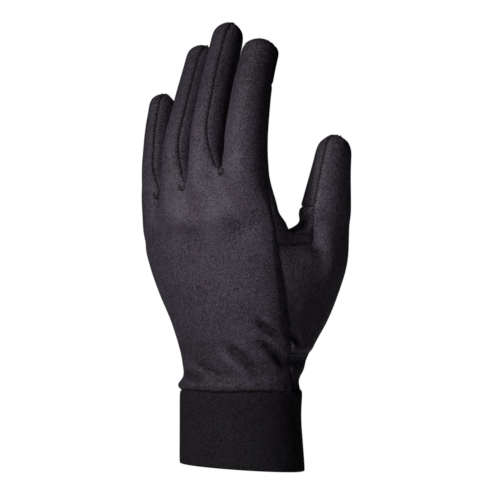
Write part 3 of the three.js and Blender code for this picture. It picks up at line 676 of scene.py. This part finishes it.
def cloth_material(name, dark, light, column, row, roughness, bump, speckle):
    """Knit cloth between two colours, with the knit's column and row in millimetres, and with painted shade
    near the seams, in the dents of the folds and between the loops.
    """
    material, g = new_material(name)
    knit = g.node("ShaderNodeGroup", node_tree=PLAIN_KNIT)
    knit.inputs["Column"].default_value = column * MM
    knit.inputs["Row"].default_value = row * MM
    near = g.node("ShaderNodeAttribute", attribute_name="seam_near").outputs["Fac"]
    fold = g.node("ShaderNodeAttribute", attribute_name="fold_depth").outputs["Fac"]
    speck = knit.outputs["Speckle"]
    patch = knit.outputs["Cloud"]
    loops = knit.outputs["Height"]
    tone = g.math("MULTIPLY_ADD", g.math("SUBTRACT", speck, 0.5), speckle, MID_TONE)
    tone = g.math("MULTIPLY_ADD", g.math("SUBTRACT", patch, 0.5), PATCH_TONE, tone)
    # Painted shade: the tone is lowered near a seam
    tone = g.math("MULTIPLY_ADD", near, SEAM_PAINTED_SHADE, tone)
    # Painted shade in the dents of the folds and gathers, and a painted highlight on their bulges
    tone = g.math("MULTIPLY_ADD", fold, FOLD_PAINTED_SHADE_AND_HIGHLIGHT, tone)
    # Painted shade between the knit's loops, and a painted highlight on their crowns
    tone = g.math("MULTIPLY_ADD", g.math("SUBTRACT", loops, LOOP_MIDDLE), LOOP_PAINTED_SHADE, tone)
    warm, cool = (
        (*(share * part for share, part in zip(cast, light)), 1) for cast in (WARM_CAST, COOL_CAST)
    )
    turn = g.node("ShaderNodeMapRange", {0: patch, 1: 0.4, 2: 0.6}).outputs[0]
    cast = g.node("ShaderNodeMix", {0: turn, 6: warm, 7: cool}, data_type="RGBA").outputs[2]
    colour = g.node(
        "ShaderNodeMix", {0: tone, 6: (*dark, 1), 7: cast}, data_type="RGBA", clamp_factor=True,
    ).outputs[2]
    rough = g.math("MULTIPLY_ADD", g.math("SUBTRACT", speck, 0.5), -0.16, roughness)
    lift = g.math("MULTIPLY_ADD", speck, 0.5, loops)
    grain = g.node("ShaderNodeBump", {"Strength": bump, "Distance": 0.12 * MM, "Height": lift})
    shader = g.node(
        "ShaderNodeBsdfPrincipled",
        {"Base Color": colour, "Roughness": rough, "Normal": grain.outputs[0]},
    )
    shader.inputs["Specular IOR Level"].default_value = 0.25
    g.node("ShaderNodeOutputMaterial", {0: shader.outputs[0]})
    return material


def thread_material():
    """Twisted sewing thread."""
    material, g = new_material("sewing_thread")
    place = g.node("ShaderNodeTexCoord").outputs["Object"]
    twist = g.node("ShaderNodeTexNoise", {"Vector": place, "Scale": 2500.0, "Detail": 1.0}).outputs["Fac"]
    colour = g.node(
        "ShaderNodeMix",
        {0: twist, 6: (0.035, 0.029, 0.038, 1), 7: (0.1, 0.082, 0.108, 1)},
        data_type="RGBA",
    ).outputs[2]
    grain = g.node("ShaderNodeBump", {"Strength": 0.3, "Distance": 0.05 * MM, "Height": twist})
    shader = g.node(
        "ShaderNodeBsdfPrincipled", {"Base Color": colour, "Roughness": 0.6, "Normal": grain.outputs[0]},
    )
    g.node("ShaderNodeOutputMaterial", {0: shader.outputs[0]})
    return material


def seam_shade_and_thread_material():
    """The sewn edges down in a seam, near-black as painted shade, and dark stitches."""
    material, g = new_material("seam_shade_and_dark_thread")
    shader = g.node("ShaderNodeBsdfPrincipled", {"Base Color": (0.003, 0.003, 0.003, 1), "Roughness": 0.9})
    g.node("ShaderNodeOutputMaterial", {0: shader.outputs[0]})
    return material


HAND_KNIT = cloth_material(
    "hand_knit", (0.004, 0.003, 0.004), (0.136, 0.111, 0.15),
    column=0.5, row=0.42, roughness=0.6, bump=0.22, speckle=0.95,
)
TOUCH_KNIT = cloth_material(
    "touch_knit", (0.003, 0.0025, 0.003), (0.085, 0.07, 0.093),
    column=0.5, row=0.4, roughness=0.65, bump=0.16, speckle=0.9,
)
CUFF_KNIT = cloth_material(
    "cuff_knit", (0.002, 0.0015, 0.002), (0.05, 0.04, 0.055),
    column=0.65, row=0.5, roughness=0.75, bump=0.2, speckle=0.75,
)
THREAD = thread_material()
SEAM_SHADE_AND_DARK_THREAD = seam_shade_and_thread_material()

for name, slot in HAND_PIECES:
    obj = cut[name]
    obj.data.materials.clear()
    obj.data.materials.append(HAND_KNIT if slot == "hand_knit" else TOUCH_KNIT)
    for face in obj.data.polygons:
        face.material_index = 0
    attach(obj, "root")
    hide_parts(name)


# Cuff: a doubled band

cuff = quads_of("cuff", "cuff_band")
cuff.data.materials.append(CUFF_KNIT)
smooth_through(cuff, levels=2, passes=1)
uv = cuff.data.uv_layers.new(name="cloth") if not cuff.data.uv_layers else cuff.data.uv_layers[0]
uv.name = "cloth"
cuff_points = points_of(cuff.data)
loops = np.zeros(len(cuff.data.loops), np.int32)
cuff.data.loops.foreach_get("vertex_index", loops)
angles = angle_round(cuff_points, CUFF_HALF)
for face in cuff.data.polygons:
    face.use_smooth = True
    turns = [angles[loops[i]] for i in face.loop_indices]
    for i in face.loop_indices:
        v = loops[i]
        angle = angles[v]
        if max(turns) - min(turns) > math.pi and angle < 0:
            angle += 2 * math.pi
        uv.data[i].uv = (angle * CUFF_RADIUS, cuff_points[v, 2])
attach(cuff, "root")
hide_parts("cuff")


# Thread in the seams

# How far a stitch's slant may sway, and how far stitches sink where the cloth faces up, in millimetres
SLANT_SWAY = 12
TIP_SINK = 0.35
def resample(line, normals, step):
    """Evenly spaced places along a line of points, with the cloth's normal at each."""
    gaps = np.linalg.norm(np.diff(line, axis=0), axis=1)
    along = np.concatenate([[0], np.cumsum(gaps)])
    count = max(int(along[-1] / step), 1)
    marks = (np.arange(count) + 0.5) * along[-1] / count
    rows = np.concatenate([line, normals], axis=1)
    rows = np.stack([np.interp(marks, along, rows[:, axis]) for axis in range(6)], axis=1)
    return rows[:, :3], rows[:, 3:]


def bar(length, radius):
    """The points and faces of one short length of thread along X, drawn in at both ends."""
    bpy.ops.mesh.primitive_cylinder_add(vertices=5, radius=radius, depth=length, end_fill_type="NOTHING")
    model = bpy.context.object
    bpy.ops.object.mode_set(mode="EDIT")
    bpy.ops.mesh.select_mode(type="EDGE")
    bpy.ops.mesh.select_non_manifold()
    bpy.ops.mesh.extrude_edges_move()
    bpy.ops.transform.resize(value=(0.45, 0.45, 1.25))
    bpy.ops.mesh.fill_holes(sides=0)
    bpy.ops.mesh.select_all(action="SELECT")
    bpy.ops.mesh.normals_make_consistent(inside=False)
    bpy.ops.object.mode_set(mode="OBJECT")
    shape = points_of(model.data)[:, [2, 0, 1]]
    faces = [list(face.vertices) for face in model.data.polygons]
    mesh = model.data
    bpy.data.objects.remove(model)
    bpy.data.meshes.remove(mesh)
    return shape, faces


def sew_along(name, seams, step, length, radius, lift, slant, thread=THREAD):
    """Stitches over a set of seams, as one piece. Sizes are in millimetres and the slant in degrees."""
    shape, faces = bar(length * MM, radius * MM)
    points = []
    polygons = []
    for line, normals in seams:
        places, ups = resample(line, normals, step * MM)
        for i, place in enumerate(places):
            ahead = places[min(i + 1, len(places) - 1)] - places[max(i - 1, 0)]
            if np.linalg.norm(ahead) < 1e-7:
                continue
            ahead = ahead / np.linalg.norm(ahead)
            up = ups[i] - ahead * (ups[i] @ ahead)
            up = up / max(np.linalg.norm(up), 1e-9)
            side = np.cross(up, ahead)
            turn = math.radians(slant + random.uniform(-SLANT_SWAY, SLANT_SWAY))
            way = ahead * math.cos(turn) + side * math.sin(turn)
            axes = np.stack([way, np.cross(up, way), up])
            base = len(points) * len(shape)
            sunk = lift - TIP_SINK * max(up[2], 0) ** 2
            points.append(shape @ axes + place + up * sunk * MM)
            polygons.extend([[base + p for p in face] for face in faces])
    mesh = bpy.data.meshes.new(name)
    mesh.from_pydata(np.concatenate(points).tolist(), [], polygons)
    for face in mesh.polygons:
        face.use_smooth = True
    obj = bpy.data.objects.new(name, mesh)
    bpy.context.scene.collection.objects.link(obj)
    mesh.materials.append(thread)
    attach(obj, "root")
    return obj


def seam_shade_filling(name, seams, radius, lift):
    """The sewn edges in the bottom of the seams, as a tube whose near-black colour is painted shade, with
    radius and lift in millimetres.
    """
    curve = bpy.data.curves.new(name, "CURVE")
    curve.dimensions = "3D"
    curve.bevel_depth = radius * MM
    curve.bevel_resolution = 1
    for line, normals in seams:
        spline = curve.splines.new("POLY")
        spline.points.add(len(line) - 1)
        for point, place in zip(spline.points, line + normals * lift * MM):
            point.co = (*place, 1)
    curve.use_fill_caps = True
    obj = bpy.data.objects.new(name, curve)
    bpy.context.scene.collection.objects.link(obj)
    pick(obj)
    bpy.ops.object.convert(target="MESH")
    obj = bpy.context.object
    obj.data.materials.clear()
    obj.data.materials.append(SEAM_SHADE_AND_DARK_THREAD)
    for face in obj.data.polygons:
        face.use_smooth = True
    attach(obj, "root")
    return obj


random.seed(4)
# A near-black tube in the bottom of each seam as painted shade, then the stitches over it
seam_shade_filling("seam_shade_filling", SEAMS, radius=0.62, lift=-0.7)
sew_along("seam_stitches", SEAMS, step=1.85, length=1.4, radius=0.27, lift=-0.2, slant=62)

# Close stitches that hold the crotches between the fingers, in two rings round each. The sizes of the
# rings are in pixels, and they are taller than they are broad.
TACKS = [(221, 172), (182, 187), (156, 195)]
TACK_RINGS = (1.4, 3.0)
TACK_TALLNESS = 1.25
TACK_TURNS = np.radians(np.arange(-60, 241, 30))
skin_tree = BVHTree.FromPolygons([Vector(p) for p in points], SKIN_FACES)
tacks = []
for column, row in TACKS:
    for size in TACK_RINGS:
        ring = [
            on_cloth(column + size * math.cos(t), row + TACK_TALLNESS * size * math.sin(t))
            for t in TACK_TURNS
        ]
        hits = [skin_tree.ray_cast(Vector(place) - into, into) for place in ring]
        hits = [hit for hit in hits if hit[0]]
        tacks.append((np.array([hit[0] for hit in hits]), np.array([hit[1] for hit in hits])))
sew_along(
    "crotch_stitches", tacks, step=1.3, length=0.7, radius=0.34, lift=0.3, slant=90, thread=SEAM_SHADE_AND_DARK_THREAD,
)

# The seam between the hand and the cuff, filled just under the hand's edge with a near-black tube as painted
# shade, and stitched in near-black thread
SHADE_FILLING_DROP = np.array([0, 0, 0.1 * MM])
seam_shade_filling("cuff_seam_shade_filling", [(WRIST_LINE - SHADE_FILLING_DROP, edge_out)], radius=0.95, lift=-0.9)
sew_along(
    "cuff_seam_stitches", [(WRIST_LINE, edge_out)],
    step=1.9, length=1.5, radius=0.2, lift=-0.5, slant=78, thread=SEAM_SHADE_AND_DARK_THREAD,
)


# Scene: pale floor, white surroundings, soft light and the camera

FLOOR_SIZE = 5.4
FLOOR_HEIGHT = -0.26
# The share of its own pale light that the floor shows to the camera, and the light that fills the shade
FLOOR_PALE = 0.85
FILL = 0.006

floor_material, g = new_material("pale_floor")
matt = g.node("ShaderNodeBsdfPrincipled", {"Base Color": (0.86, 0.86, 0.86, 1), "Roughness": 0.9}).outputs[0]
pale = g.node("ShaderNodeEmission", {"Color": (0.9, 0.9, 0.9, 1), "Strength": 1.0}).outputs[0]
seen = g.math("MULTIPLY", g.node("ShaderNodeLightPath").outputs["Is Camera Ray"], FLOOR_PALE)
g.node("ShaderNodeOutputMaterial", {0: g.node("ShaderNodeMixShader", {0: seen, 1: matt, 2: pale}).outputs[0]})
bpy.ops.mesh.primitive_plane_add(size=FLOOR_SIZE, location=(0, 0, FLOOR_HEIGHT))
floor = bpy.context.object
floor.name = "floor"
floor.data.materials.append(floor_material)

world = bpy.data.worlds.new("white_room")
bpy.context.scene.world = world
world.use_nodes = True
world.node_tree.nodes.clear()
g = Graph(world.node_tree)
seen_white = g.node("ShaderNodeBackground", {"Color": (1, 1, 1, 1), "Strength": 1.0}).outputs[0]
soft_fill = g.node("ShaderNodeBackground", {"Color": (0.96, 0.97, 1, 1), "Strength": FILL}).outputs[0]
plain_sight = g.node("ShaderNodeLightPath").outputs["Is Camera Ray"]
both = g.node("ShaderNodeMixShader", {0: plain_sight, 1: soft_fill, 2: seen_white}).outputs[0]
g.node("ShaderNodeOutputWorld", {0: both})
bpy.context.scene.view_settings.view_transform = "Standard"


def soft_light(name, place, aim, size, power):
    """A round soft light at a place, turned to its aim."""
    data = bpy.data.lights.new(name, "AREA")
    data.shape = "DISK"
    data.size = size
    data.energy = power
    obj = bpy.data.objects.new(name, data)
    bpy.context.scene.collection.objects.link(obj)
    obj.location = place
    obj.rotation_euler = (Vector(aim) - Vector(place)).to_track_quat("-Z", "Y").to_euler()


def pool_light(name, turn, rise, aim, width, power):
    """A narrow pool of light that fades out from its middle, with turn and width in degrees."""
    data = bpy.data.lights.new(name, "SPOT")
    data.energy = power
    data.spot_size = math.radians(width)
    data.spot_blend = 1.0
    data.shadow_soft_size = 0.04
    obj = bpy.data.objects.new(name, data)
    bpy.context.scene.collection.objects.link(obj)
    obj.location = centre + LIGHT_AWAY * towards(turn) + Vector((0, 0, rise))
    obj.rotation_euler = (Vector(aim) - obj.location).to_track_quat("-Z", "Y").to_euler()


def towards(turn):
    """The level way from the glove to a light, at a turn in degrees from the camera's side."""
    turn = math.radians(turn)
    return across * math.sin(turn) - into * math.cos(turn)


centre = Vector((0, 0, 0.125))
LIGHT_AWAY = 1.3
KEY_TURN = -51
KEY_RISE = math.radians(34)
key_way = towards(KEY_TURN) * math.cos(KEY_RISE) + Vector((0, 0, math.sin(KEY_RISE)))
soft_light("key", centre + LIGHT_AWAY * key_way, centre, size=0.4, power=7.2)

# A soft light from behind and below, for the palm's side
BEHIND_AWAY = 1.6
BEHIND_DROP = Vector((0, 0, 0.1))
soft_light("behind", centre + into * BEHIND_AWAY - BEHIND_DROP, centre, size=0.3, power=9)

# Pools of light on the back of the hand and on the thumb, aimed at pixels of the photograph's view
pool_light("hand_pool", turn=-58, rise=0.6, aim=on_cloth(238, 226), width=5.8, power=54)
pool_light("thumb_pool", turn=-8, rise=0.35, aim=on_cloth(332, 182), width=3.6, power=14)

DISTANCE = 3.0
FRAME_PIXELS = 500
camera_data = bpy.data.cameras.new("camera")
camera_data.sensor_width = 36
camera_data.lens = camera_data.sensor_width * DISTANCE / (FRAME_PIXELS * PIXEL)
camera_data.clip_end = 50
camera = bpy.data.objects.new("camera", camera_data)
bpy.context.scene.collection.objects.link(camera)
half = FRAME_PIXELS / 2
look_at = across * (half - MOUTH_PIXEL[0]) * PIXEL + Vector((0, 0, (MOUTH_PIXEL[1] - half) * PIXEL))
camera.location = look_at - into * DISTANCE
camera.rotation_euler = into.to_track_quat("-Z", "Y").to_euler()
bpy.context.scene.camera = camera
